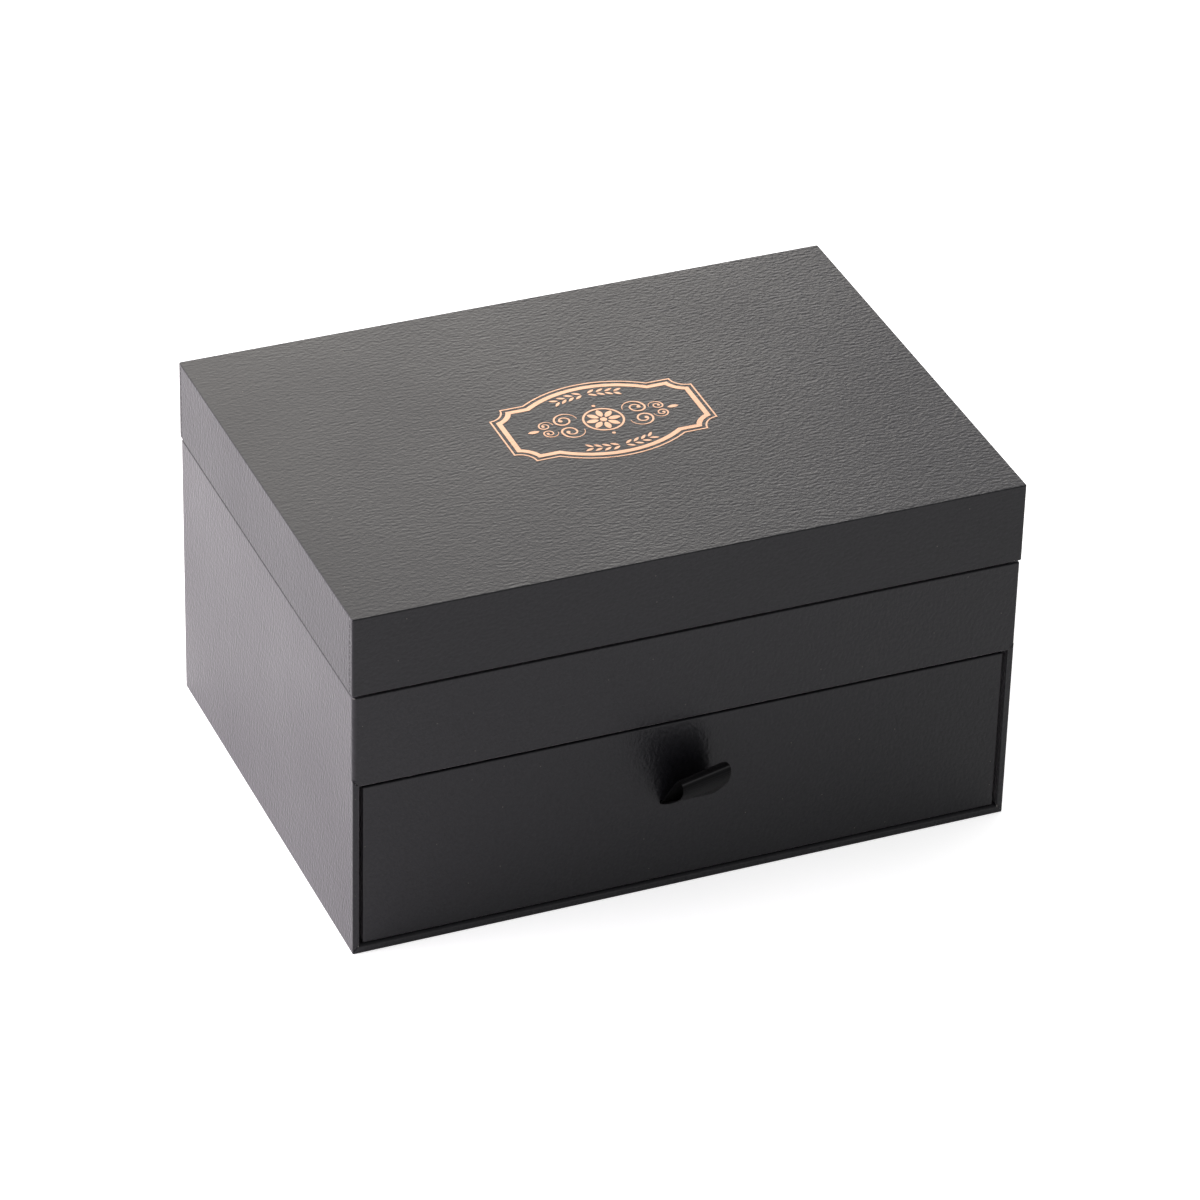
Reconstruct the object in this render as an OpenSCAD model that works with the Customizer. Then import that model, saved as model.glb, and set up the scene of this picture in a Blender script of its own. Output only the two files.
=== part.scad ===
// Rigid gift box: a lift-off lid that sits on a collar, a tray under the lid,
// and a full-width drawer below the tray, pulled by a ribbon loop.
// Greyboard panels are glued edge to edge and covered with embossed paper,
// whose sheets turn over every rim and edge.
// Millimetres. X runs along the front, the drawer opens towards -Y, Z is up.
// The origin is the middle of the underside of the case.

/* [Case] */
// Outer width of the covered case
case_w = 249.4; // [200:0.2:320]
// Outer depth of the covered case
case_d = 179.4; // [150:0.2:240]
// Height of the case up to its rim
case_h = 107; // [96:0.5:150]
// Clear height of the drawer bay
bay_h = 66.8; // [40:0.2:72]
// Outer radius of the case's upright corners
case_corner_r = 1.2; // [0.7:0.1:2]

/* [Board] */
// Thickness of the upright case boards
case_board = 2; // [1.5:0.1:3]
// Thickness of the board under the drawer
bottom_board = 3; // [2:0.1:4]
// Thickness of the deck between tray and drawer
deck_board = 2; // [1.5:0.1:3]
// Thickness of the lid's boards
lid_board = 2; // [1.5:0.1:3]
// Thickness of the collar's boards
collar_board = 1.5; // [1:0.1:2.5]
// Thickness of the drawer's boards
drawer_board = 2; // [1.5:0.1:3]

/* [Paper] */
// Thickness of the embossed covering paper and of the linings
paper = 0.25; // [0.15:0.01:0.4]
// How far the covering turns in under the case and the drawer
under_turn = 15; // [8:0.5:25]
// How far the covering turns in behind a rim
rim_turn = 12; // [6:0.5:16]
// How far the covering turns back into the drawer bay
bay_turn = 16; // [8:0.5:30]
// Gap left between a turn-in and the lining sheet beside it
sheet_gap = 0.3; // [0.1:0.05:0.8]

/* [Lid] */
// Height of the lid
lid_h = 31; // [24:0.5:50]
// Shadow gap between the case's rim and the lid
reveal = 1; // [0.4:0.1:4]
// Play between the collar and the lid on each side
lid_play = 0.4; // [0.2:0.05:1]
// Air between the collar's top and the lid's lining
lid_seat = 0.05; // [0.02:0.01:0.2]
// Outer radius of the lid's upright corners
lid_corner_r = 0.8; // [0.6:0.1:2]

/* [Drawer] */
// Play between the drawer and the bay on each side
side_gap = 1.3; // [0.5:0.1:2.5]
// Play above the drawer
top_gap = 0.9; // [0.4:0.1:2.5]
// Play under the drawer
under_gap = 0.25; // [0.2:0.05:0.8]
// Play behind the drawer
back_gap = 1.5; // [0.5:0.1:6]
// How far the drawer's front sits behind the case's front
recess = 0.5; // [0.2:0.1:3]
// Outer radius of the drawer's upright corners
drawer_corner_r = 0.8; // [0.6:0.1:2]

/* [Ribbon pull] */
// Width of the ribbon
ribbon_w = 20; // [12:0.5:30]
// Thickness of the ribbon
ribbon_t = 0.6; // [0.4:0.05:0.9]
// Distance from the loop's root to the middle of its round end
loop_reach = 21; // [15:0.5:30]
// Outer radius of the loop's round end
loop_r = 3.9; // [3.4:0.1:6]
// Upward tilt of the loop in degrees
loop_tilt = 44; // [0:1:60]
// Length of each glued tail behind the drawer's front
tail_len = 18; // [10:0.5:26]
// Play of the ribbon in its slit on each side
slit_play = 0.1; // [0.05:0.05:0.5]
// Border of the paper patch round the ribbon's tails
patch_border = 6; // [3:0.5:9]

/* [Foil plaque] */
// Thickness of the stamped foil
foil_t = 0.08; // [0.05:0.01:0.15]
// Width of the plaque
plaque_w = 77.4; // [70:0.2:110]
// Height of the plaque without its arches
plaque_h = 36.4; // [32:0.2:60]
// Width of the arch on each long side
arch_w = 47.4; // [40:0.2:52]
// Rise of each arch
arch_rise = 7.2; // [5:0.2:12]
// Radius of the scooped corners
scoop_r = 6.1; // [4:0.1:8]
// Width of the plaque's outer line
thin_line = 0.6; // [0.3:0.05:0.9]
// Width of the plaque's inner line
thick_line = 1.9; // [0.8:0.1:2.4]
// Distance between the two lines
line_gap = 1.3; // [0.6:0.1:2]
// Sideways offset of the plaque from the lid's middle
plaque_x = 3; // [-6:0.1:6]
// Offset of the plaque towards the back
plaque_y = 1.3; // [-6:0.1:6]
// Outer radius of the rosette in the plaque
rosette_r = 7.6; // [5:0.2:8.4]
// Number of petals in the rosette
petals = 8; // [5:1:10]
// Radius of the larger scrolls
scroll_r = 4.4; // [3:0.1:5]
// Length of the leaves in the sprigs
leaf_l = 3.4; // [2.6:0.1:3.8]
// Pairs of leaves in each sprig
leaf_pairs = 4; // [2:1:5]

/* [Hidden] */
$fn = 64;
over = 1; // how far a cutting solid runs past what it cuts

// Case
wall = case_board + 2 * paper; // covering, board and inner paper
bay_x = case_w / 2 - wall; // half the bay's clear width
case_front = -case_d / 2;
case_back = case_d / 2;
floor_z = bottom_board + 2 * paper; // bay floor
bay_top = floor_z + bay_h;
deck_z = bay_top + paper + deck_board; // top of the deck board

// Collar and lid
collar = collar_board + 2 * paper;
lid_wall = lid_board + 2 * paper;
lid_w = case_w - 2 * wall + 2 * lid_play + 2 * lid_wall;
lid_d = case_d - 2 * wall + 2 * lid_play + 2 * lid_wall;
lid_z = case_h + reveal;
lid_top = lid_z + lid_h;
collar_top = lid_top - lid_wall - lid_seat;

// Drawer
drawer_wall = drawer_board + 2 * paper;
drawer_w = 2 * (bay_x - side_gap);
drawer_front = case_front + recess;
drawer_back = case_back - wall - back_gap;
drawer_d = drawer_back - drawer_front;
drawer_mid = (drawer_front + drawer_back) / 2;
drawer_z = floor_z + under_gap;
drawer_top = bay_top - top_gap;

// Ribbon pull
slit_z = (drawer_z + drawer_top) / 2;
slit_h = 2 * ribbon_t + 2 * slit_play;
slit_w = ribbon_w + 2 * slit_play;
loop_angle = asin(loop_r / loop_reach); // half the angle at the loop's root
root = 0.8; // how far the loop's root sits in front of the drawer

// Foil plaque
arch_r = (pow(arch_w / 2, 2) + pow(arch_rise, 2)) / (2 * arch_rise);
arch_mid = plaque_h / 2 + arch_rise - arch_r; // height of the arch's centre

// Outline of a w by d box drawn in by inset, with upright corners of radius r
module outline(w, d, r, inset = 0) {
    corner = r - inset;
    if (corner > 0.1) {
        square([w - 2 * inset - 2 * corner, d - 2 * inset], center = true);
        square([w - 2 * inset, d - 2 * inset - 2 * corner], center = true);
        for (x = [-1, 1], y = [-1, 1])
            translate([x * (w / 2 - inset - corner), y * (d / 2 - inset - corner)])
                circle(corner);
    } else {
        square([w - 2 * inset, d - 2 * inset], center = true);
    }
}

// Band of wall between two insets of a box's outline, from z0 up to z1
module band(w, d, r, outer, inner, z0, z1) {
    translate([0, 0, z0])
        linear_extrude(z1 - z0)
            difference() {
                outline(w, d, r, outer);
                outline(w, d, r, inner);
            }
}

// Flat sheet or board that fills a box's outline drawn in by inset
module sheet(w, d, r, inset, z0, z1) {
    translate([0, 0, z0]) linear_extrude(z1 - z0) outline(w, d, r, inset);
}

// Board along one side of a box: side is "left", "right", "front" or "back".
// Left and right boards run the full depth, and the others fit between them.
module side_board(side, w, d, r, inset, thick, z0, z1) {
    half_w = w / 2 - inset;
    half_d = d / 2 - inset;
    corner = r - inset;
    along_x = side == "front" || side == "back";
    low = side == "left" ? [-half_w, -half_d]
        : side == "right" ? [half_w - thick, -half_d]
        : side == "front" ? [-half_w + thick, -half_d]
        : [-half_w + thick, half_d - thick];
    size = along_x ? [2 * (half_w - thick), thick] : [thick, 2 * half_d];
    translate([0, 0, z0])
        linear_extrude(z1 - z0)
            if (along_x || corner <= 0.1) translate(low) square(size);
            else intersection() {
                outline(w, d, r, inset);
                translate(low) square(size);
            }
}

// Rectangular sleeve of paper that lines the bay from y0 back to y1. Its hole
// stops back_t short of y1, or runs right through.
module bay_sleeve(y0, y1, back_t = -over) {
    difference() {
        translate([-bay_x - paper, y0, floor_z - paper])
            cube([2 * (bay_x + paper), y1 - y0, bay_h + 2 * paper]);
        translate([-bay_x, y0 - over, floor_z])
            cube([2 * bay_x, y1 - back_t - y0 + over, bay_h]);
    }
}

// --- Case -------------------------------------------------------------------

module case_side(side, z0) {
    color("dimgray")
        side_board(side, case_w, case_d, case_corner_r, paper, case_board,
                   z0, case_h - paper);
}

// The board under the drawer lies between the upright boards and shows its
// covered front edge below the drawer.
module case_bottom_board() {
    inset = paper + case_board;
    color("dimgray")
        translate([-case_w / 2 + inset, case_front + paper, paper])
            cube([case_w - 2 * inset, case_d - inset - paper, bottom_board]);
}

// One sheet covers the four sides, turns over the rim, turns in under the
// case, and turns back into the bay all round the drawer's opening.
module case_wrap() {
    color([0.09, 0.09, 0.1]) {
        difference() {
            union() {
                band(case_w, case_d, case_corner_r, 0, paper, 0, case_h);
                band(case_w, case_d, case_corner_r, 0, wall, case_h - paper, case_h);
                band(case_w, case_d, case_corner_r, wall - paper, wall,
                     case_h - rim_turn, case_h);
                band(case_w, case_d, case_corner_r, 0, under_turn, 0, paper);
            }
            translate([-bay_x, case_front - over, floor_z])
                cube([2 * bay_x, wall + 2 * over, bay_h]);
        }
        bay_sleeve(case_front, case_front + bay_turn);
    }
}

// Paper on the underside, inside the covering's turn-ins
module base_paper() {
    color([0.12, 0.12, 0.12])
        sheet(case_w, case_d, case_corner_r, under_turn + sheet_gap, 0, paper);
}

// Sleeve and back of the bay, behind the covering's turn-ins
module bay_lining() {
    color([0.05, 0.05, 0.05])
        bay_sleeve(case_front + bay_turn + sheet_gap, case_back - wall + paper, paper);
}

// --- Tray and collar ---------------------------------------------------------

// Deck between the drawer bay and the tray, glued between the four walls
module tray_deck() {
    inset = paper + case_board;
    color("gray")
        translate([-case_w / 2 + inset, case_front + inset, bay_top + paper])
            cube([case_w - 2 * inset, case_d - 2 * inset, deck_board]);
}

module tray_lining() {
    color([0.05, 0.05, 0.05])
        sheet(case_w, case_d, 0, wall + collar, deck_z, deck_z + paper);
}

// The collar's boards stand on the deck inside the case and rise into the lid.
module collar_side(side) {
    color("gray")
        side_board(side, case_w, case_d, 0, wall + paper, collar_board,
                   deck_z, collar_top - paper);
}

// Paper over the collar's two faces and its top edge
module collar_wrap() {
    color([0.04, 0.04, 0.04]) {
        band(case_w, case_d, 0, wall, wall + paper, deck_z, collar_top);
        band(case_w, case_d, 0, wall + collar - paper, wall + collar, deck_z, collar_top);
        band(case_w, case_d, 0, wall, wall + collar, collar_top - paper, collar_top);
    }
}

// --- Lid --------------------------------------------------------------------

module lid_top_board() {
    color("dimgray")
        sheet(lid_w, lid_d, lid_corner_r, paper, lid_top - paper - lid_board, lid_top - paper);
}

module lid_side(side) {
    color("dimgray")
        side_board(side, lid_w, lid_d, lid_corner_r, paper, lid_board,
                   lid_z + paper, lid_top - paper - lid_board);
}

// One sheet covers the lid's top and sides and turns over its rim.
module lid_wrap() {
    color([0.1, 0.1, 0.1]) {
        sheet(lid_w, lid_d, lid_corner_r, 0, lid_top - paper, lid_top);
        band(lid_w, lid_d, lid_corner_r, 0, paper, lid_z, lid_top);
        band(lid_w, lid_d, lid_corner_r, 0, lid_wall, lid_z, lid_z + paper);
        band(lid_w, lid_d, lid_corner_r, lid_wall - paper, lid_wall,
             lid_z, lid_z + rim_turn);
    }
}

module lid_lining() {
    under_board = lid_top - paper - lid_board;
    color([0.05, 0.05, 0.05]) {
        sheet(lid_w, lid_d, 0, lid_wall - paper, under_board - paper, under_board);
        band(lid_w, lid_d, 0, lid_wall - paper, lid_wall,
             lid_z + rim_turn + sheet_gap, under_board);
    }
}

// --- Foil on the lid -----------------------------------------------------------

// Outline of the plaque drawn in by inset: scooped corners and arched sides
module plaque(inset) {
    w = plaque_w - 2 * inset;
    h = plaque_h - 2 * inset;
    difference() {
        square([w, h], center = true);
        for (x = [-1, 1], y = [-1, 1])
            translate([x * plaque_w / 2, y * plaque_h / 2])
                circle(scoop_r + inset);
    }
    for (y = [0, 1])
        mirror([0, y])
            intersection() {
                translate([0, arch_mid]) circle(arch_r - inset);
                translate([-arch_w / 2, 0]) square([arch_w, plaque_h]);
            }
}

module plaque_line(inset, line) {
    difference() {
        plaque(inset);
        plaque(inset + line);
    }
}

module foil_border() {
    color([0.83, 0.6, 0.48])
        translate([plaque_x, plaque_y, lid_top])
            linear_extrude(foil_t) {
                plaque_line(0, thin_line);
                plaque_line(thin_line + line_gap, thick_line);
            }
}

// Leaf with two round sides and two points, from the origin along +X
module leaf(length, width) {
    r = (length * length + width * width) / (4 * width);
    intersection() {
        translate([length / 2, r - width / 2]) circle(r);
        translate([length / 2, width / 2 - r]) circle(r);
    }
}

// Ring of petals round a heart
module rosette() {
    ring = rosette_r * 0.1;
    heart = rosette_r * 0.17;
    difference() {
        circle(rosette_r);
        circle(rosette_r - ring);
    }
    circle(heart);
    for (i = [0:petals - 1])
        rotate(360 * i / petals)
            translate([heart * 1.35, 0])
                leaf(rosette_r - ring - heart * 1.6, rosette_r * 0.3);
}

// Half turn of a scroll, above or below the x axis, between x = a and x = b.
// Its width is wa at the first end and wb at the second.
module half_turn(a, b, wa, wb, above) {
    way = sign(b - a);
    r = abs(b - a) / 2;
    intersection() {
        difference() {
            translate([(a + b) / 2, 0]) circle(r);
            translate([(a + b + way * (wa - wb)) / 2, 0]) circle(r - (wa + wb) / 2);
        }
        translate([min(a, b), above ? 0 : -r]) square([2 * r, r]);
    }
}

// Scroll of three half turns, each smaller than the last, round a dot
module scroll(r, width) {
    shrink = 0.7;
    ends = 2 * r * [0, 1, 1 - shrink, 1 - shrink + shrink * shrink];
    widths = width * [0.35, 1, 0.85, 0.7];
    for (i = [0:2])
        half_turn(ends[i], ends[i + 1], widths[i], widths[i + 1], i != 1);
    translate([ends[3] - width, 0]) circle(width);
}

// A larger and a smaller scroll beside the rosette, with a leaf at the end
module scroll_spray() {
    small_r = scroll_r * 0.64;
    big_x = rosette_r + scroll_r * 0.25;
    small_x = big_x + scroll_r * 2.15;
    for (y = [0, 1])
        mirror([0, y]) {
            translate([big_x, scroll_r * 0.87]) scroll(scroll_r, scroll_r * 0.17);
            translate([small_x, small_r * 0.87]) scroll(small_r, small_r * 0.2);
        }
    translate([small_x + small_r * 2.2, 0]) leaf(scroll_r, scroll_r * 0.4);
}

// Leaves in pairs that follow the arch from its middle to one side
module sprig() {
    sprig_r = arch_r - thin_line - line_gap - thick_line - leaf_l;
    turn = 2 * asin(leaf_l * 0.46 / sprig_r);
    for (i = [0.4:1:leaf_pairs], side = [-1, 1])
        translate([0, arch_mid])
            rotate(-i * turn)
                translate([0, sprig_r + side * leaf_l * 0.1])
                    rotate(side * 32)
                        leaf(leaf_l, leaf_l * 0.34);
}

module foil_ornament() {
    color([0.83, 0.6, 0.48])
        translate([plaque_x, plaque_y, lid_top])
            linear_extrude(foil_t) {
                rosette();
                for (x = [0, 1])
                    mirror([x, 0]) {
                        scroll_spray();
                        for (y = [0, 1])
                            mirror([0, y]) sprig();
                    }
                for (y = [-1, 1])
                    translate([0, y * (rosette_r + leaf_l * 0.6)]) circle(leaf_l * 0.2);
            }
}

// --- Drawer -----------------------------------------------------------------

module drawer_side(side) {
    translate([0, drawer_mid, 0])
        color("dimgray")
            side_board(side, drawer_w, drawer_d, drawer_corner_r, paper, drawer_board,
                       drawer_z + paper + drawer_board, drawer_top - paper);
}

// Slit that the doubled ribbon passes through
module ribbon_slit() {
    translate([-slit_w / 2, drawer_front - over, slit_z - slit_h / 2])
        cube([slit_w, drawer_wall + 2 * over, slit_h]);
}

module drawer_front_board() {
    difference() {
        drawer_side("front");
        ribbon_slit();
    }
}

module drawer_bottom_board() {
    color("dimgray")
        translate([0, drawer_mid, 0])
            sheet(drawer_w, drawer_d, drawer_corner_r, paper,
                  drawer_z + paper, drawer_z + paper + drawer_board);
}

module drawer_wrap() {
    w = drawer_w;
    d = drawer_d;
    r = drawer_corner_r;
    color([0.09, 0.09, 0.1])
        difference() {
            translate([0, drawer_mid, 0]) {
                band(w, d, r, 0, paper, drawer_z, drawer_top);
                band(w, d, r, 0, drawer_wall, drawer_top - paper, drawer_top);
                band(w, d, r, drawer_wall - paper, drawer_wall,
                     drawer_top - rim_turn, drawer_top);
                band(w, d, r, 0, under_turn, drawer_z, drawer_z + paper);
            }
            ribbon_slit();
        }
}

module drawer_base_paper() {
    color([0.12, 0.12, 0.12])
        translate([0, drawer_mid, 0])
            sheet(drawer_w, drawer_d, 0, under_turn + sheet_gap, drawer_z, drawer_z + paper);
}

module drawer_lining() {
    floor_board = drawer_z + paper + drawer_board;
    color([0.05, 0.05, 0.05])
        difference() {
            translate([0, drawer_mid, 0]) {
                sheet(drawer_w, drawer_d, 0, drawer_wall - paper,
                      floor_board, floor_board + paper);
                band(drawer_w, drawer_d, 0, drawer_wall - paper, drawer_wall,
                     floor_board, drawer_top - rim_turn - sheet_gap);
            }
            ribbon_slit();
        }
}

// --- Ribbon pull ---------------------------------------------------------------

// Section of the loop: two straight legs from the root that run into a ring.
// The ring's part between the legs is cut away, so the loop is open inside.
module loop_section() {
    leg = loop_reach * cos(loop_angle);
    far = 2 * loop_r;
    rotate(loop_angle) translate([0, -ribbon_t]) square([leg, ribbon_t]);
    rotate(-loop_angle) square([leg, ribbon_t]);
    translate([loop_reach, 0])
        difference() {
            circle(loop_r);
            circle(loop_r - ribbon_t);
            polygon([
                [0, 0],
                far * [-sin(loop_angle), cos(loop_angle)],
                [-far, far],
                [-far, -far],
                far * [-sin(loop_angle), -cos(loop_angle)]
            ]);
        }
}

// Section of the ribbon: the loop in front, two layers through the slit and
// a tail glued up and down the inner face. X points out of the drawer here.
module ribbon_section() {
    inside = root + drawer_wall + ribbon_t;
    rotate(loop_tilt) loop_section();
    circle(ribbon_t);
    translate([-inside, -ribbon_t]) square([inside, 2 * ribbon_t]);
    translate([-inside, -tail_len]) square([ribbon_t, 2 * tail_len]);
}

module pull_ribbon() {
    color([0.03, 0.03, 0.03])
        translate([ribbon_w / 2, drawer_front - root, slit_z])
            rotate([90, 0, -90])
                linear_extrude(ribbon_w) ribbon_section();
}

// Paper glued over the ribbon's tails, raised where they lie under it
module ribbon_patch() {
    inner = drawer_front + drawer_wall;
    flat = [ribbon_w / 2 + patch_border, tail_len + patch_border];
    pocket = [ribbon_w / 2 + slit_play, tail_len + slit_play];
    depth = ribbon_t + slit_play;
    color([0.06, 0.06, 0.06])
        difference() {
            union() {
                patch_block(inner, flat, paper);
                patch_block(inner, pocket + [paper, paper], depth + paper);
            }
            patch_block(inner - over, pocket, over + depth);
        }
}

// Block behind the drawer's front, centred on the slit, of half size half
module patch_block(y, half, depth) {
    translate([-half[0], y, slit_z - half[1]]) cube([2 * half[0], depth, 2 * half[1]]);
}

// --- Pieces -------------------------------------------------------------------

case_side("left", paper);  // case_left_board
case_side("right", paper);  // case_right_board
case_side("back", paper);  // case_back_board
case_side("front", bay_top + paper);  // case_front_panel
case_bottom_board();
case_wrap();
base_paper();
bay_lining();
tray_deck();
tray_lining();
collar_side("left");  // collar_left
collar_side("right");  // collar_right
collar_side("front");  // collar_front
collar_side("back");  // collar_back
collar_wrap();
lid_top_board();
lid_side("left");  // lid_left_board
lid_side("right");  // lid_right_board
lid_side("front");  // lid_front_board
lid_side("back");  // lid_back_board
lid_wrap();
lid_lining();
foil_border();
foil_ornament();
drawer_bottom_board();
drawer_side("left");  // drawer_left_board
drawer_side("right");  // drawer_right_board
drawer_front_board();
drawer_side("back");  // drawer_back_board
drawer_wrap();
drawer_base_paper();
drawer_lining();
pull_ribbon();
ribbon_patch();
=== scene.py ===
"""The drawer gift box, dressed for a studio picture: embossed paper over board,
stamped foil on the lid, and a woven ribbon loop that pulls the drawer."""

import math
import random

import bpy
from mathutils import Matrix, Vector


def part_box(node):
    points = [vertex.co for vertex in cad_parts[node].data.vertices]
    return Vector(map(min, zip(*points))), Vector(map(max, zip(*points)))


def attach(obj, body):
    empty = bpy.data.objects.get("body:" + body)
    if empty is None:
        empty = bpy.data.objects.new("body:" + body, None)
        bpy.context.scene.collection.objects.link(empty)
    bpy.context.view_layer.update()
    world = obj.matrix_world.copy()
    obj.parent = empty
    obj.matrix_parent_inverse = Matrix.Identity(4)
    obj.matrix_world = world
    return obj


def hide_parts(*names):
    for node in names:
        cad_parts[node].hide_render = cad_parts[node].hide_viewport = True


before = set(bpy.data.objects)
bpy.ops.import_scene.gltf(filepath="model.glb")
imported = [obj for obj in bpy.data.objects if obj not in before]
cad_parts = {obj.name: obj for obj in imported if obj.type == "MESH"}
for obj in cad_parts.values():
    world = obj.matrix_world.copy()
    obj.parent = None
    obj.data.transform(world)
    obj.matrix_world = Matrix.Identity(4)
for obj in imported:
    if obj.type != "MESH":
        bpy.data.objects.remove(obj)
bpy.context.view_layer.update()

bpy.context.scene.view_settings.view_transform = "Standard"

MM = 0.001
PAPER = 0.25 * MM  # thickness of the covering paper
WALL = 2.5 * MM  # covering, board and inner paper together
RIM_TURN = 12 * MM  # how far the paper turns in behind a rim
UNDER_TURN = 15 * MM  # how far it turns in under a bottom edge
BAY_TURN = 16 * MM  # how far it turns back into the drawer's bay
LID_FOLD_R = 0.5 * MM  # radius of the paper along the lid's top edges
LID_RIM_R = 0.35 * MM  # radius along the lid's rim
CASE_RIM_R = 0.6 * MM  # radius along the case's rim
CASE_FOOT_R = 0.45 * MM  # radius along the case's bottom edges
COLLAR_RIM_R = 0.4 * MM  # radius along the collar's top
DRAWER_EDGE_R = 0.7 * MM  # radius along the drawer's rim and its bottom edges
NOSE_R = 1.8 * MM  # radius of the strip under the drawer, along its top
JAMB_R = 0.6 * MM  # radius round the rest of the drawer's opening
POST_R = 0.5 * MM  # radius of the upright folds beside the drawer
SOFT_R = 1.7 * MM  # radius of the case's front left corner, over the drawer
UPRIGHT_R = 0.8 * MM  # radius of all the other upright corners
COLLAR_WALL = 2 * MM  # the collar's board, with paper on both faces
UNDER_DEPTH = 0.5 * MM  # how deep an underside lies between its turn-ins
NICK = 0.2 * MM  # half the width of a nick or slit where paper meets paper
RIBBON_W = 20 * MM
RIBBON_T = 0.5 * MM
RIBBON_PLAY = 0.1 * MM  # room round the ribbon in its slit
SLACK = 0.02 * MM  # places closer together than this count as one


# --- Working on a piece --------------------------------------------------------


def deselect_all():
    if bpy.context.object and bpy.context.object.mode != "OBJECT":
        bpy.ops.object.mode_set(mode="OBJECT")
    bpy.ops.object.select_all(action="DESELECT")


def take(piece):
    """Makes a piece the only selected and the active one."""
    deselect_all()
    piece.select_set(True)
    bpy.context.view_layer.objects.active = piece


def settle(piece):
    """Moves a piece's place, turn and scale into its mesh."""
    take(piece)
    bpy.ops.object.transform_apply(location=True, rotation=True, scale=True)


def block(name, low, high):
    """A cube stretched between two corners."""
    deselect_all()
    middle = [(a + b) / 2 for a, b in zip(low, high)]
    bpy.ops.mesh.primitive_cube_add(size=1, location=middle)
    piece = bpy.context.object
    piece.name = piece.data.name = name
    piece.scale = [b - a for a, b in zip(low, high)]
    settle(piece)
    return piece


def apply_modifiers(piece):
    take(piece)
    for name in [m.name for m in piece.modifiers]:
        bpy.ops.object.modifier_apply(modifier=name)


def combine(piece, other, operation):
    """Fuses another closed solid into a piece, or cuts it out of it."""
    step = piece.modifiers.new("combine", "BOOLEAN")
    step.operation = operation
    step.solver = "EXACT"
    step.object = other
    apply_modifiers(piece)
    bpy.data.objects.remove(other)


def cut(piece, low, high, turn=None):
    """Cuts a block out of a piece, turned about an axis if asked."""
    tool = block("cutter", low, high)
    if turn:
        axis, angle, about = turn
        spin = Matrix.Rotation(angle, 4, axis)
        place = Matrix.Translation(about)
        tool.matrix_world = place @ spin @ place.inverted()
        settle(tool)
    combine(piece, tool, "DIFFERENCE")


def ease(piece, low, high, centre, radius):
    """Rounds off an edge that runs left to right: a block is cut away there, all
    but a rod of the given radius that lies along the edge."""
    tool = block("cutter", low, high)
    deselect_all()
    bpy.ops.mesh.primitive_cylinder_add(vertices=64, radius=radius, depth=1, location=centre,
                                        rotation=(0, math.radians(90), 0))
    rod = bpy.context.object
    settle(rod)
    combine(tool, rod, "DIFFERENCE")
    combine(piece, tool, "DIFFERENCE")


def pick(piece, kind, test, among=None):
    """Selects, in edit mode, the edges or faces whose corners pass the test."""
    take(piece)
    bpy.ops.object.mode_set(mode="EDIT")
    bpy.ops.mesh.select_mode(type=kind)
    bpy.ops.mesh.select_all(action="DESELECT")
    bpy.ops.object.mode_set(mode="OBJECT")
    mesh = piece.data
    parts = mesh.edges if kind == "EDGE" else mesh.polygons
    for part in parts:
        wanted = among is None or tuple(sorted(part.vertices)) in among
        part.select = wanted and test([mesh.vertices[i].co for i in part.vertices])
    bpy.ops.object.mode_set(mode="EDIT")


def near(value, target):
    return abs(value - target) < SLACK


def folds(mesh):
    """The corner pairs of the edges at which two faces meet at an angle."""
    normals = {}
    for face in mesh.polygons:
        for key in face.edge_keys:
            normals.setdefault(key, []).append(face.normal)
    return {key for key, sides in normals.items()
            if len(sides) == 2 and sides[0].dot(sides[1]) < 0.9}


def round_edges(piece, test, radius, segments=3):
    """Rounds the sharp edges whose ends pass the test."""
    sharp = folds(piece.data)
    pick(piece, "EDGE", test, sharp)
    bpy.ops.mesh.bevel(offset=radius, offset_type="OFFSET", segments=segments, profile=0.5,
                       clamp_overlap=False, loop_slide=False)
    bpy.ops.object.mode_set(mode="OBJECT")


def round_uprights(piece, radius, test=lambda corner: True):
    """Rounds a block's upright corners, or only those that pass the test."""
    def upright(corners):
        a, b = corners
        return near(a.x, b.x) and near(a.y, b.y) and test(a)
    round_edges(piece, upright, radius, 5)


def drop_faces(piece, test):
    pick(piece, "FACE", test)
    bpy.ops.mesh.delete(type="FACE")
    bpy.ops.object.mode_set(mode="OBJECT")


def all_at(axis, place):
    """A test that all the corners lie at one place along an axis."""
    return lambda corners: all(near(c[axis], place) for c in corners)


def keep_within(piece, low, high):
    """Sets back whatever a rounding pushed out past the piece's own box."""
    for corner in piece.data.vertices:
        for axis in range(3):
            corner.co[axis] = min(max(corner.co[axis], low[axis]), high[axis])


def as_paper(piece, low, high):
    """Gives a sheet its thickness inwards, and shades its folds smoothly."""
    keep_within(piece, low, high)
    sheet = piece.modifiers.new("thickness", "SOLIDIFY")
    sheet.thickness = PAPER
    sheet.offset = -1
    apply_modifiers(piece)
    keep_within(piece, low, high)
    shade(piece)


def shade(piece):
    """Shades the rounded folds smoothly and keeps the panels between them flat."""
    take(piece)
    bpy.ops.object.shade_smooth_by_angle(angle=math.radians(40))
    flat = piece.modifiers.new("flat panels", "WEIGHTED_NORMAL")
    flat.keep_sharp = True
    flat.weight = 100
    apply_modifiers(piece)


def lay_flat(piece, spot):
    """Gives a piece the map of its flat sheet, from a function of a corner's
    place and its face's normal."""
    layer = piece.data.uv_layers.new(name="sheet")
    for face in piece.data.polygons:
        for i in face.loop_indices:
            corner = piece.data.vertices[piece.data.loops[i].vertex_index].co
            layer.data[i].uv = spot(corner, face.normal)


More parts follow.
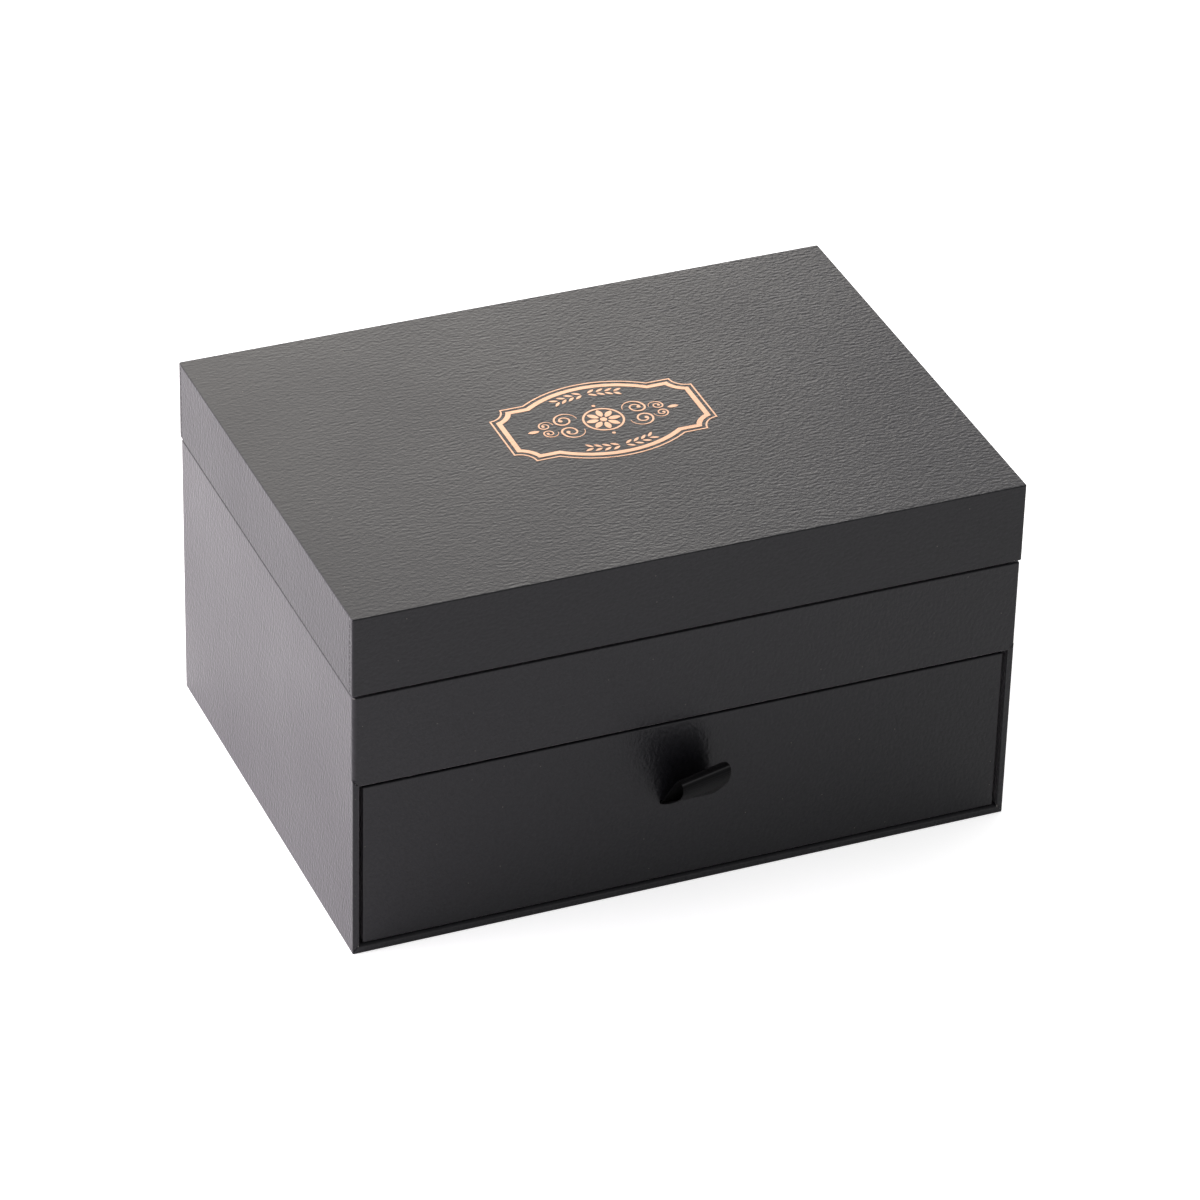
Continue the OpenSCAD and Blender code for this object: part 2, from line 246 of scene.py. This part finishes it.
def lay_over_top(piece, top):
    """The sheet of a lid: its top as seen from above, with each side folded out
    from the top's edge."""
    def spot(p, n):
        drop = top - p.z
        if abs(n.z) >= max(abs(n.x), abs(n.y)):
            return p.x, p.y
        if abs(n.x) > abs(n.y):
            return p.x + math.copysign(drop, p.x), p.y
        return p.x, p.y + math.copysign(drop, p.y)
    lay_flat(piece, spot)


def lay_round_sides(piece):
    """The sheet of a case or drawer: a strip that runs round the four sides."""
    def spot(p, n):
        if abs(n.z) >= max(abs(n.x), abs(n.y)):
            return p.x, p.y
        if abs(n.x) > abs(n.y):
            return p.z, p.y + math.copysign(1, n.x)
        return p.z, p.x + math.copysign(2, n.y)
    lay_flat(piece, spot)


TOP_GRAIN = 1.2  # what the grain's depth is multiplied by at the lid's middle,
TOP_GRAIN_RISE = 6  # how much more for each metre to the right,
LEFT_GRAIN = 1.2  # on the lid's left side,
SIDE_GRAIN = 0.6  # and on its other sides


def press_grain(piece):
    """Maps how deep a lid's leather grain is on its top and its sides."""
    layer = piece.data.attributes.new("grain_depth", "FLOAT", "CORNER")
    for face in piece.data.polygons:
        for i in face.loop_indices:
            corner = piece.data.vertices[piece.data.loops[i].vertex_index].co
            if face.normal.z > 0.7:
                layer.data[i].value = TOP_GRAIN + TOP_GRAIN_RISE * corner.x
            else:
                layer.data[i].value = LEFT_GRAIN if face.normal.x < -0.7 else SIDE_GRAIN


# --- Finishes --------------------------------------------------------------------


def set_range(node, from_low, from_high, to_low, to_high):
    """Has a Map Range node turn one range of values into another."""
    for socket, value in (("From Min", from_low), ("From Max", from_high),
                          ("To Min", to_low), ("To Max", to_high)):
        node.inputs[socket].default_value = value


class Finish:
    """A material's node tree, with short ways to add and join nodes."""

    def __init__(self, name, colour, roughness, **sockets):
        self.material = bpy.data.materials.new(name)
        self.material.use_nodes = True
        self.tree = self.material.node_tree
        self.shader = self.tree.nodes["Principled BSDF"]
        self.shader.inputs["Base Color"].default_value = (*colour, 1)
        self.shader.inputs["Roughness"].default_value = roughness
        for socket, value in sockets.items():
            self.shader.inputs[socket.replace("_", " ")].default_value = value

    def add(self, kind, **values):
        node = self.tree.nodes.new(kind)
        for key, value in values.items():
            if hasattr(node, key):
                setattr(node, key, value)
            else:
                node.inputs[key.replace("_", " ")].default_value = value
        return node

    def join(self, source, target, socket, output=0):
        self.tree.links.new(source.outputs[output], target.inputs[socket])

    def place(self, scale, sheet=None):
        """Coordinates in the object's metres, or on its own flat sheet."""
        if sheet:
            where = self.add("ShaderNodeUVMap", uv_map=sheet)
            out = 0
        else:
            where = self.add("ShaderNodeTexCoord")
            out = where.outputs.find("Object")
        mapping = self.add("ShaderNodeMapping")
        mapping.inputs["Scale"].default_value = scale
        self.join(where, mapping, "Vector", out)
        return mapping

    def noise(self, place, scale, detail=2, roughness=0.5, distortion=0):
        node = self.add("ShaderNodeTexNoise")
        node.inputs["Scale"].default_value = scale
        node.inputs["Detail"].default_value = detail
        node.inputs["Roughness"].default_value = roughness
        node.inputs["Distortion"].default_value = distortion
        self.join(place, node, "Vector")
        return node

    def ripples(self, place, pitch, order):
        """Broken parallel ripples of the given pitch that run along U. Their
        order is 1 where all are parallel, and 0 where they have no direction."""
        node = self.add("ShaderNodeTexGabor", gabor_type="2D")
        node.inputs["Scale"].default_value = 1 / (2 * pitch)
        node.inputs["Frequency"].default_value = 2
        node.inputs["Anisotropy"].default_value = order
        node.inputs["Orientation"].default_value = math.pi / 2
        self.join(place, node, "Vector")
        return node

    def math(self, operation, a, b):
        """One operation on two numbers, or on other nodes' results."""
        node = self.add("ShaderNodeMath", operation=operation)
        for i, value in enumerate((a, b)):
            if isinstance(value, (int, float)):
                node.inputs[i].default_value = value
            else:
                self.tree.links.new(value.outputs[0], node.inputs[i])
        return node

    def spread(self, source, low, high, from_low=0.3, from_high=0.7):
        """Turns the given range of a pattern's values into another."""
        node = self.add("ShaderNodeMapRange")
        set_range(node, from_low, from_high, low, high)
        self.join(source, node, "Value")
        return node

    def colours(self, source, dark, light, from_low=0.3, from_high=0.7):
        """Colours the surface between dark and light, as a pattern says."""
        ramp = self.add("ShaderNodeValToRGB")
        ramp.color_ramp.elements[0].position = from_low
        ramp.color_ramp.elements[1].position = from_high
        ramp.color_ramp.elements[0].color = (*dark, 1)
        ramp.color_ramp.elements[1].color = (*light, 1)
        self.join(source, ramp, "Fac")
        self.join(ramp, self.shader, "Base Color")

    def tint(self, amount, colour):
        """Lays another colour over the one set before, as far as the amount says."""
        blend = self.add("ShaderNodeMix", data_type="RGBA")
        below = self.shader.inputs["Base Color"].links[0].from_socket
        self.join(amount, blend, 0)
        self.tree.links.new(below, blend.inputs[6])
        blend.inputs[7].default_value = (*colour, 1)
        self.tree.links.new(blend.outputs[2], self.shader.inputs["Base Color"])

    def dust(self, sheet):
        """A few specks of pale dust: dots in some of the cells of a cell pattern
        that has 75 cells to the metre."""
        cells = self.add("ShaderNodeTexVoronoi", voronoi_dimensions="2D")
        cells.inputs["Scale"].default_value = 75
        self.join(self.place((1, 1, 1), sheet), cells, "Vector")
        dots = self.spread(cells, 1, 0, 0.008, 0.014)
        few = self.math("GREATER_THAN", 0, 0.72)
        self.join(cells, few, 0, 1)
        self.tint(self.math("MULTIPLY", dots, few), (0.16, 0.14, 0.12))

    def relief(self, height, depth):
        """Raises the surface by a pattern, to the given depth."""
        bump = self.add("ShaderNodeBump")
        bump.inputs["Strength"].default_value = 1
        bump.inputs["Distance"].default_value = depth
        self.join(height, bump, "Height")
        self.join(bump, self.shader, "Normal")


def embossed_paper(name, relief, roughness, sheen, uneven=False):
    """Black covering paper pressed with a leather grain: long low wrinkles that
    run along the sheet's U, with finer pores between them. An uneven grain is as
    deep as the sheet's own map of it says."""
    paper = Finish(name, (0.008, 0.008, 0.01), roughness, IOR=1.44, Sheen_Weight=sheen,
                   Sheen_Roughness=0.35, Sheen_Tint=(1.0, 0.955, 1.0, 1))
    wrinkles = paper.ripples(paper.place((0.75, 1, 1), "sheet"), 2.1 * MM, 0.62)
    pores = paper.noise(paper.place((1, 1.3, 1), "sheet"), 650, 2, 0.5, 0.4)
    swell = paper.noise(paper.place((1, 1.3, 1), "sheet"), 260, 1)
    height = paper.math("ADD", paper.math("MULTIPLY", wrinkles, 0.85),
                        paper.math("MULTIPLY", pores, 2.3))
    height = paper.math("ADD", height, swell)
    if uneven:
        depth = paper.add("ShaderNodeAttribute", attribute_name="grain_depth")
        height = paper.math("MULTIPLY", height, 1)
        paper.join(depth, height, 1, depth.outputs.find("Fac"))
    paper.relief(height, relief)
    paper.colours(pores, (0.0048, 0.0048, 0.0068), (0.0104, 0.0102, 0.0128))
    paper.dust("sheet")
    tone = paper.noise(paper.place((1, 1, 1), "sheet"), 14, 2)
    paper.join(paper.spread(tone, roughness - 0.03, roughness + 0.04), paper.shader, "Roughness")
    return paper.material


def plain_paper(name, colour, roughness):
    """Smooth black lining paper, with the faint fibre of an uncoated sheet."""
    paper = Finish(name, colour, roughness, IOR=1.45)
    fibre = paper.noise(paper.place((1, 1, 1)), 1400, 3, 0.6)
    cloud = paper.noise(paper.place((1, 1, 1)), 60, 2)
    paper.relief(fibre, 0.03 * MM)
    paper.colours(cloud, [c * 0.85 for c in colour], [c * 1.2 for c in colour])
    return paper.material


def grey_board():
    """Raw grey board, mottled with its pulp."""
    board = Finish("greyboard", (0.3, 0.29, 0.27), 0.9)
    pulp = board.noise(board.place((1, 1, 1)), 900, 4, 0.7)
    board.colours(pulp, (0.2, 0.19, 0.175), (0.36, 0.345, 0.32))
    board.relief(pulp, 0.06 * MM)
    return board.material


def rose_foil():
    """Rose-gold hot foil: bright metal that keeps a little of the paper's grain."""
    foil = Finish("rose_gold_foil", (0.66, 0.405, 0.28), 0.3, Metallic=1.0)
    along = foil.place((1, 2.6, 1))
    wrinkles = foil.noise(along, 260, 3, 0.55, 0.6)
    foil.relief(wrinkles, 0.04 * MM)
    tone = foil.noise(foil.place((1, 1, 1)), 120, 2)
    foil.colours(tone, (0.61, 0.365, 0.25), (0.70, 0.44, 0.31))
    foil.join(foil.spread(tone, 0.26, 0.36), foil.shader, "Roughness")
    return foil.material


def woven_ribbon(crease):
    """Black ribbon with fine ribs across it, and a painted highlight: paler colour along the
    loop's fold, where light catches the crease.
    """
    cloth = Finish("black_ribbon", (0.004, 0.004, 0.0045), 0.55, Specular_IOR_Level=0.08,
                   Sheen_Weight=0.02, Sheen_Roughness=0.4)
    place = cloth.place((1, 1, 1), "sheet")
    ribs = cloth.add("ShaderNodeTexWave", wave_type="BANDS", bands_direction="Y",
                     wave_profile="SIN")
    ribs.inputs["Scale"].default_value = 450
    ribs.inputs["Distortion"].default_value = 0.4
    cloth.join(place, ribs, "Vector")
    cloth.relief(ribs, 0.05 * MM)
    cloth.colours(ribs, (0.003, 0.003, 0.0035), (0.007, 0.007, 0.0075), 0.2, 0.8)
    axes = cloth.add("ShaderNodeSeparateXYZ")
    cloth.join(place, axes, "Vector")
    # Painted highlight: a paler band of colour along the loop's fold, standing in for light
    # caught on the crease
    away = cloth.math("SUBTRACT", 0, crease)
    cloth.join(axes, away, 0, 1)
    away = cloth.math("ABSOLUTE", away, 0)
    painted_crease_highlight = cloth.spread(away, 1, 0, 0.1 * MM, 0.5 * MM)
    cloth.tint(painted_crease_highlight, (0.05, 0.05, 0.051))
    return cloth.material


def dress(piece, material):
    piece.data.materials.clear()
    piece.data.materials.append(material)


def dress_node(name, material):
    """Gives a CAD piece that stays its finish."""
    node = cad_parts[name]
    if not node.material_slots:
        node.data.materials.append(material)
    for slot in node.material_slots:
        slot.material = material


# --- Camera, floor and light ------------------------------------------------------

CAMERA_AT = Vector((-0.69420, -1.64051, 1.22012))
AZIMUTH, ELEVATION, ROLL = (math.radians(a) for a in (-23.024, 32.974, 1.566))
LENS = 177.03  # millimetres, over a sensor 36 mm wide


def set_camera():
    back = Vector((math.sin(AZIMUTH) * math.cos(ELEVATION),
                   -math.cos(AZIMUTH) * math.cos(ELEVATION), math.sin(ELEVATION)))
    right = Vector((0, 0, 1)).cross(back).normalized()
    up = back.cross(right)
    rolled_right = math.cos(ROLL) * right + math.sin(ROLL) * up
    rolled_up = -math.sin(ROLL) * right + math.cos(ROLL) * up
    data = bpy.data.cameras.new("camera")
    data.sensor_fit = "HORIZONTAL"
    data.sensor_width = 36
    data.lens = LENS
    data.clip_start = 0.1
    data.clip_end = 20
    camera = bpy.data.objects.new("camera", data)
    bpy.context.scene.collection.objects.link(camera)
    turn = Matrix((rolled_right, rolled_up, back)).transposed().to_4x4()
    camera.matrix_world = Matrix.Translation(CAMERA_AT) @ turn
    bpy.context.scene.camera = camera


def seen_directly(tree, by_camera, by_reflection):
    """How much a surface glows to the camera, and in a reflection or through
    glass. It's nought for the light that falls on the object."""
    rays = tree.nodes.new("ShaderNodeLightPath")
    total = None
    for name, strength in (("Is Camera Ray", by_camera), ("Is Glossy Ray", by_reflection),
                           ("Is Transmission Ray", by_reflection)):
        part = tree.nodes.new("ShaderNodeMath")
        part.operation = "MULTIPLY"
        part.inputs[1].default_value = strength
        tree.links.new(rays.outputs[name], part.inputs[0])
        if total:
            add = tree.nodes.new("ShaderNodeMath")
            add.operation = "ADD"
            tree.links.new(total, add.inputs[0])
            tree.links.new(part.outputs[0], add.inputs[1])
            part = add
        total = part.outputs[0]
    return total


def set_floor(tone, by_camera, by_reflection):
    """A pale floor that a little light of its own takes up to white, all but in
    the object's shadow."""
    deselect_all()
    bpy.ops.mesh.primitive_plane_add(size=12, location=(0, 0, 0))
    floor = bpy.context.object
    floor.name = "floor"
    pale = Finish("pale_floor", (tone, tone, tone), 0.9)
    glow = seen_directly(pale.tree, by_camera, by_reflection)
    pale.shader.inputs["Emission Color"].default_value = (1, 1, 1, 1)
    pale.tree.links.new(glow, pale.shader.inputs["Emission Strength"])
    dress(floor, pale.material)


def set_world(round_about, overhead_front):
    """White light from the horizon and the back, and a darker ceiling in front."""
    world = bpy.data.worlds.new("studio")
    bpy.context.scene.world = world
    world.use_nodes = True
    tree = world.node_tree

    def ramp(source, low, high, result_low, result_high):
        node = tree.nodes.new("ShaderNodeMapRange")
        node.interpolation_type = "SMOOTHSTEP"
        set_range(node, low, high, result_low, result_high)
        tree.links.new(source, node.inputs["Value"])
        return node.outputs["Result"]

    way = tree.nodes.new("ShaderNodeTexCoord")
    axes = tree.nodes.new("ShaderNodeSeparateXYZ")
    tree.links.new(way.outputs["Generated"], axes.inputs[0])
    ceiling = tree.nodes.new("ShaderNodeMath")
    ceiling.operation = "MULTIPLY"
    tree.links.new(ramp(axes.outputs["Y"], -0.35, 0.15, 1, 0), ceiling.inputs[0])
    tree.links.new(ramp(axes.outputs["Z"], 0.1, 0.45, 0, 1), ceiling.inputs[1])
    strength = ramp(ceiling.outputs[0], 0, 1, round_about, overhead_front)
    tree.links.new(strength, tree.nodes["Background"].inputs["Strength"])
    tree.nodes["Background"].inputs["Color"].default_value = (1, 1, 1, 1)


def softbox(name, place, aim, width, height, radiance, colour):
    """A rectangular lamp of the given radiance, turned to face its aim."""
    data = bpy.data.lights.new(name, "AREA")
    data.color = colour
    data.shape = "RECTANGLE"
    data.size = width
    data.size_y = height
    data.energy = radiance * math.pi * width * height
    lamp = bpy.data.objects.new(name, data)
    bpy.context.scene.collection.objects.link(lamp)
    lamp.location = place
    lamp.rotation_euler = (Vector(aim) - Vector(place)).to_track_quat("-Z", "Y").to_euler()


set_camera()
set_floor(0.92, 0.7, 0.12)
set_world(1, 0.15)
softbox("softbox_back", (-0.1, 0.75, 0.45), (0, 0, 0.1), 1.2, 0.36, 2.05, (1, 0.95, 0.85))
softbox("softbox_left", (-0.8, 0.2, 0.36), (-0.15, -0.02, 0), 0.7, 0.6, 5.9, (1, 0.91, 1.03))

# --- Finishes in use ---------------------------------------------------------------

lid_paper = embossed_paper("lid_leather_grain", 0.085 * MM, 0.36, 0.32, True)
case_paper = embossed_paper("case_leather_grain", 0.08 * MM, 0.36, 0.6)
drawer_paper = embossed_paper("drawer_leather_grain", 0.07 * MM, 0.36, 0.12)
lining_paper = plain_paper("lining_paper", (0.014, 0.014, 0.015), 0.6)
foil = rose_foil()
greyboard = grey_board()

for node in ("bay_lining", "tray_lining", "lid_lining", "drawer_lining", "base_paper",
             "drawer_base_paper"):
    dress_node(node, lining_paper)
for node in ("foil_border", "foil_ornament"):
    dress_node(node, foil)
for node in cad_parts:
    if node.endswith("_board") or node in ("case_front_panel", "tray_deck", "collar_left",
                                            "collar_right", "collar_front", "collar_back"):
        dress_node(node, greyboard)


# --- Coverings ----------------------------------------------------------------------


def uneven_row(start, last, chance):
    """The starts and ends of a row of nicks of uneven length, in millimetres."""
    row = []
    while start < last - 0.5:
        end = min(start + chance.uniform(0.5, 2.2), last)
        row.append((start, end))
        start = end + chance.uniform(0.25, 0.7)
    return row


def nick_laps(piece, low, high):
    """Shows the lapped paper's edge as a row of nicks beside each upright corner."""
    nicks = uneven_row(0.8, 30, random.Random(4))
    for x in (low[0], high[0]):
        for y, way in ((low[1], 1), (high[1], -1)):
            lap = y + way * 2.3 * MM
            for start, end in nicks:
                cut(piece, (x - NICK, lap - NICK, low[2] + start * MM),
                    (x + NICK, lap + NICK, low[2] + end * MM))


def cover_lid():
    low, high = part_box("lid_wrap")
    piece = block("lid_covering", low, high)
    round_uprights(piece, UPRIGHT_R)
    cut(piece, (low[0] + WALL, low[1] + WALL, low[2] - MM),
        (high[0] - WALL, high[1] - WALL, low[2] + RIM_TURN))
    round_edges(piece, all_at(2, high[2]), LID_FOLD_R)
    round_edges(piece, all_at(2, low[2]), LID_RIM_R)
    nick_laps(piece, low, high)
    drop_faces(piece, all_at(2, low[2] + RIM_TURN))
    as_paper(piece, low, high)
    lay_over_top(piece, high[2])
    press_grain(piece)
    dress(piece, lid_paper)
    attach(piece, "lid")
    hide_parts("lid_wrap")


def sink_rim(piece, low, high):
    """Cuts the room inside an open top's rim, as deep as its paper turns in."""
    cut(piece, (low[0] + WALL, low[1] + WALL, high[2] - RIM_TURN),
        (high[0] - WALL, high[1] - WALL, high[2] + MM))


def sink_underside(piece, low, high):
    """Cuts the shallow room between an underside's turn-ins."""
    cut(piece, (low[0] + UNDER_TURN, low[1] + UNDER_TURN, low[2] - MM),
        (high[0] - UNDER_TURN, high[1] - UNDER_TURN, low[2] + UNDER_DEPTH))


def round_bottom(piece, low, high, radius):
    """Rounds the bottom's outer edges, and leaves the cut edge of its turn-ins."""
    def outside(c):
        inner = UNDER_TURN - MM
        return c.x < low[0] + inner or c.x > high[0] - inner \
            or c.y < low[1] + inner or c.y > high[1] - inner
    round_edges(piece, lambda cs: all(near(c.z, low[2]) and outside(c) for c in cs), radius)


def open_underside(piece, low, high):
    """Leaves only the paper's turn-ins on the underside."""
    def within(c):
        return low[0] + UNDER_TURN - MM < c.x < high[0] - UNDER_TURN + MM \
            and low[1] + UNDER_TURN - MM < c.y < high[1] - UNDER_TURN + MM
    drop_faces(piece, lambda cs: all(within(c) and c.z < low[2] + MM for c in cs)
               and max(c.z for c in cs) > low[2] + UNDER_DEPTH / 2)


def case_form(name):
    """The case's outside. It's folded sharply over the boards' front edges beside
    the drawer, and softly at the left corner above it."""
    low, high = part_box("case_wrap")
    middle = slit_top(low)
    form = block(name, low, (high[0], high[1], middle))
    round_uprights(form, POST_R, lambda c: c.y < 0)
    round_uprights(form, UPRIGHT_R, lambda c: c.y > 0)

    def soft(corner):
        return corner.x < 0 and corner.y < 0
    upper = block("upper", (low[0], low[1], middle), high)
    round_uprights(upper, SOFT_R, soft)
    round_uprights(upper, UPRIGHT_R, lambda c: not soft(c))
    combine(form, upper, "UNION")
    return form


def slit_top(low):
    """The height where the slit from the opening's corner, at 45 degrees, meets
    the case's own corner."""
    bay_low, bay_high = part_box("bay_lining")
    return bay_high[2] - PAPER + bay_low[0] + PAPER - low[0]


SLIT_START = 1.1 * MM  # where the slit at a corner of the opening starts and
SLIT_END = 3.7 * MM  # ends, outwards from the corner
SLIT_DEPTH = 0.22 * MM


def slit_corners(piece, left, right, floor, roof, front):
    """Slits the paper at 45 degrees outwards from each of the opening's corners,
    where its turned-in flaps part."""
    for x, way in ((left, -1), (right, 1)):
        for z, rise in ((roof, 1), (floor, -1)):
            near_end, far_end = sorted((x + way * SLIT_START, x + way * SLIT_END))
            cut(piece, (near_end, front - MM, z - NICK),
                (far_end, front + SLIT_DEPTH, z + NICK),
                ("Y", -math.radians(45) * rise * way, Vector((x, front, z))))


def cover_case():
    low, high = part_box("case_wrap")
    bay_low, bay_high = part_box("bay_lining")
    left, right = bay_low[0] + PAPER, bay_high[0] - PAPER
    floor, roof = bay_low[2] + PAPER, bay_high[2] - PAPER
    front = low[1]
    piece = case_form("case_covering")
    sink_rim(piece, low, high)
    cut(piece, (left, front - MM, floor), (right, front + BAY_TURN, roof))
    sink_underside(piece, low, high)
    # The strip's rounded top, a little wider than the folds beside it
    side = JAMB_R + MM / 20
    ease(piece, (left - side, front - MM, floor - NOSE_R),
         (right + side, front + NOSE_R, floor + MM / 50),
         (0, front + NOSE_R, floor - NOSE_R), NOSE_R)
    slit_corners(piece, left, right, floor, roof, front)

    def at_opening(c):
        return near(c.y, front) and left - MM / 10 < c.x < right + MM / 10 \
            and floor - MM / 10 < c.z < roof + MM / 10
    round_edges(piece, all_at(2, high[2]), CASE_RIM_R)
    round_edges(piece, lambda corners: all(at_opening(c) for c in corners), JAMB_R)
    round_bottom(piece, low, high, CASE_FOOT_R)
    drop_faces(piece, all_at(2, high[2] - RIM_TURN))
    drop_faces(piece, all_at(1, front + BAY_TURN))
    open_underside(piece, low, high)
    as_paper(piece, low, high)
    lay_round_sides(piece)
    dress(piece, case_paper)
    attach(piece, "case")
    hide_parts("case_wrap")


def lay_bottom_board():
    """The board under the drawer, its front edge sanded round for the paper."""
    low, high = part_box("case_bottom_board")
    piece = block("bottom_board", low, high)

    def upper_front(corners):
        return all(near(c.y, low[1]) and near(c.z, high[2]) for c in corners)
    round_edges(piece, upper_front, NOSE_R - PAPER, 5)
    shade(piece)
    dress(piece, greyboard)
    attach(piece, "case")
    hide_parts("case_bottom_board")


def cover_drawer():
    low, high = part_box("drawer_wrap")
    piece = block("drawer_covering", low, high)
    round_uprights(piece, UPRIGHT_R)
    sink_rim(piece, low, high)
    sink_underside(piece, low, high)
    # The ribbon's slit
    half_w, half_h = RIBBON_W / 2 + RIBBON_PLAY, RIBBON_T + 2 * RIBBON_PLAY
    slit_z = (low[2] + high[2]) / 2
    cut(piece, (-half_w, low[1] - MM, slit_z - half_h), (half_w, low[1] + MM, slit_z + half_h))
    round_edges(piece, all_at(2, high[2]), DRAWER_EDGE_R)
    round_bottom(piece, low, high, DRAWER_EDGE_R)
    drop_faces(piece, all_at(2, high[2] - RIM_TURN))
    drop_faces(piece, all_at(1, low[1] + MM))
    open_underside(piece, low, high)
    as_paper(piece, low, high)
    lay_round_sides(piece)
    dress(piece, drawer_paper)
    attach(piece, "drawer")
    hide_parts("drawer_wrap")


def cover_collar():
    low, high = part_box("collar_wrap")
    piece = block("collar_covering", low, high)
    cut(piece, (low[0] + COLLAR_WALL, low[1] + COLLAR_WALL, low[2] - MM),
        (high[0] - COLLAR_WALL, high[1] - COLLAR_WALL, high[2] + MM))
    round_edges(piece, all_at(2, high[2]), COLLAR_RIM_R)
    drop_faces(piece, all_at(2, low[2]))
    as_paper(piece, low, high)
    dress(piece, lining_paper)
    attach(piece, "case")
    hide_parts("collar_wrap")


cover_lid()
cover_case()
lay_bottom_board()
cover_drawer()
cover_collar()

# --- Ribbon ----------------------------------------------------------------------------

# The loop's path in millimetres out of the drawer's front and up from the slit,
# at the ribbon's left edge and at its right edge, which was pushed up a little
LOOP_LEFT = [(0.6, 0.3), (4.2, 5.2), (8.9, 11.4), (12.4, 15.9), (15.4, 18.6), (18.4, 18.9),
             (19.4, 17.2), (18.7, 14.6), (16.2, 11.4), (10.4, 6.4), (5.0, 2.4), (0.8, -0.3)]
LOOP_RIGHT = [(0.6, 0.3), (2.4, 5.8), (4.8, 12.0), (7.6, 16.9), (11.0, 19.5), (14.3, 19.9),
              (15.3, 18.0), (14.7, 15.4), (12.6, 11.8), (8.4, 7.2), (4.2, 2.8), (0.8, -0.3)]
FOLD_POINT = 5  # the loop's outermost fold is at this point of both paths
TAIL = 18  # length of each glued tail, in millimetres
PATH_STEPS = 4  # how many stretches of a smooth path join two of its points


def smooth_path(points, steps):
    """A smooth curve through the points, with so many steps from one to the next."""
    ends = [points[0], *points, points[-1]]
    path = []
    for a, b, c, d in zip(ends, ends[1:], ends[2:], ends[3:]):
        for i in range(steps):
            t = i / steps
            path.append(tuple(
                0.5 * (2 * b[k] + (c[k] - a[k]) * t
                       + (2 * a[k] - 5 * b[k] + 4 * c[k] - d[k]) * t * t
                       + (3 * b[k] - a[k] - 3 * c[k] + d[k]) * t ** 3) for k in (0, 1)))
    path.append(points[-1])
    return path


def ribbon_edges():
    """The paths of the ribbon's left and right edges, in millimetres out of the
    drawer's front and up from the slit: a tail glued up the inner face, the loop,
    and a tail glued down it. Also says which of their points is the loop's fold."""
    half = RIBBON_T / 2 / MM
    inside = -WALL / MM - half
    upper = [(inside, TAIL), (inside, TAIL / 2), (inside, half + 0.9),
             (inside + 0.5, half + 0.05), (-1.2, half + 0.05)]
    lower = [(x, -z) for x, z in reversed(upper)]
    left = smooth_path(upper + LOOP_LEFT + lower, PATH_STEPS)
    right = smooth_path(upper + LOOP_RIGHT + lower, PATH_STEPS)
    return left, right, (len(upper) + FOLD_POINT) * PATH_STEPS


def lay_ribbon(mesh, left, right, travel, front, slit_z):
    """Lays a flat grid between the two paths, and maps its flat sheet on it."""
    layer = mesh.uv_layers.new(name="sheet")
    spots = {}
    for v in mesh.vertices:
        s = v.co.x + 0.5
        k = round((v.co.y + 0.5) * (len(left) - 1))
        out = left[k][0] * (1 - s) + right[k][0] * s
        up = left[k][1] * (1 - s) + right[k][1] * s
        spots[v.index] = (s * RIBBON_W, travel[k] * MM)
        v.co = ((s - 0.5) * RIBBON_W, front - out * MM, slit_z + up * MM)
    for loop in mesh.loops:
        layer.data[loop.index].uv = spots[loop.vertex_index]


def make_ribbon():
    low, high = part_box("drawer_wrap")
    left, right, fold = ribbon_edges()
    travel = [0.0]
    for a, b in zip(left, left[1:]):
        travel.append(travel[-1] + math.dist(a, b))
    deselect_all()
    bpy.ops.mesh.primitive_grid_add(x_subdivisions=8, y_subdivisions=len(left) - 1, size=1)
    piece = bpy.context.object
    piece.name = piece.data.name = "pull_loop"
    lay_ribbon(piece.data, left, right, travel, low[1], (low[2] + high[2]) / 2)
    thick = piece.modifiers.new("thickness", "SOLIDIFY")
    thick.thickness = RIBBON_T
    thick.offset = 0
    smooth = piece.modifiers.new("smooth", "SUBSURF")
    smooth.levels = smooth.render_levels = 1
    apply_modifiers(piece)
    take(piece)
    bpy.ops.object.shade_smooth_by_angle(angle=math.radians(50))
    dress(piece, woven_ribbon(travel[fold] * MM))
    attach(piece, "drawer")
    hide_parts("pull_ribbon")


make_ribbon()
dress_node("ribbon_patch", lining_paper)
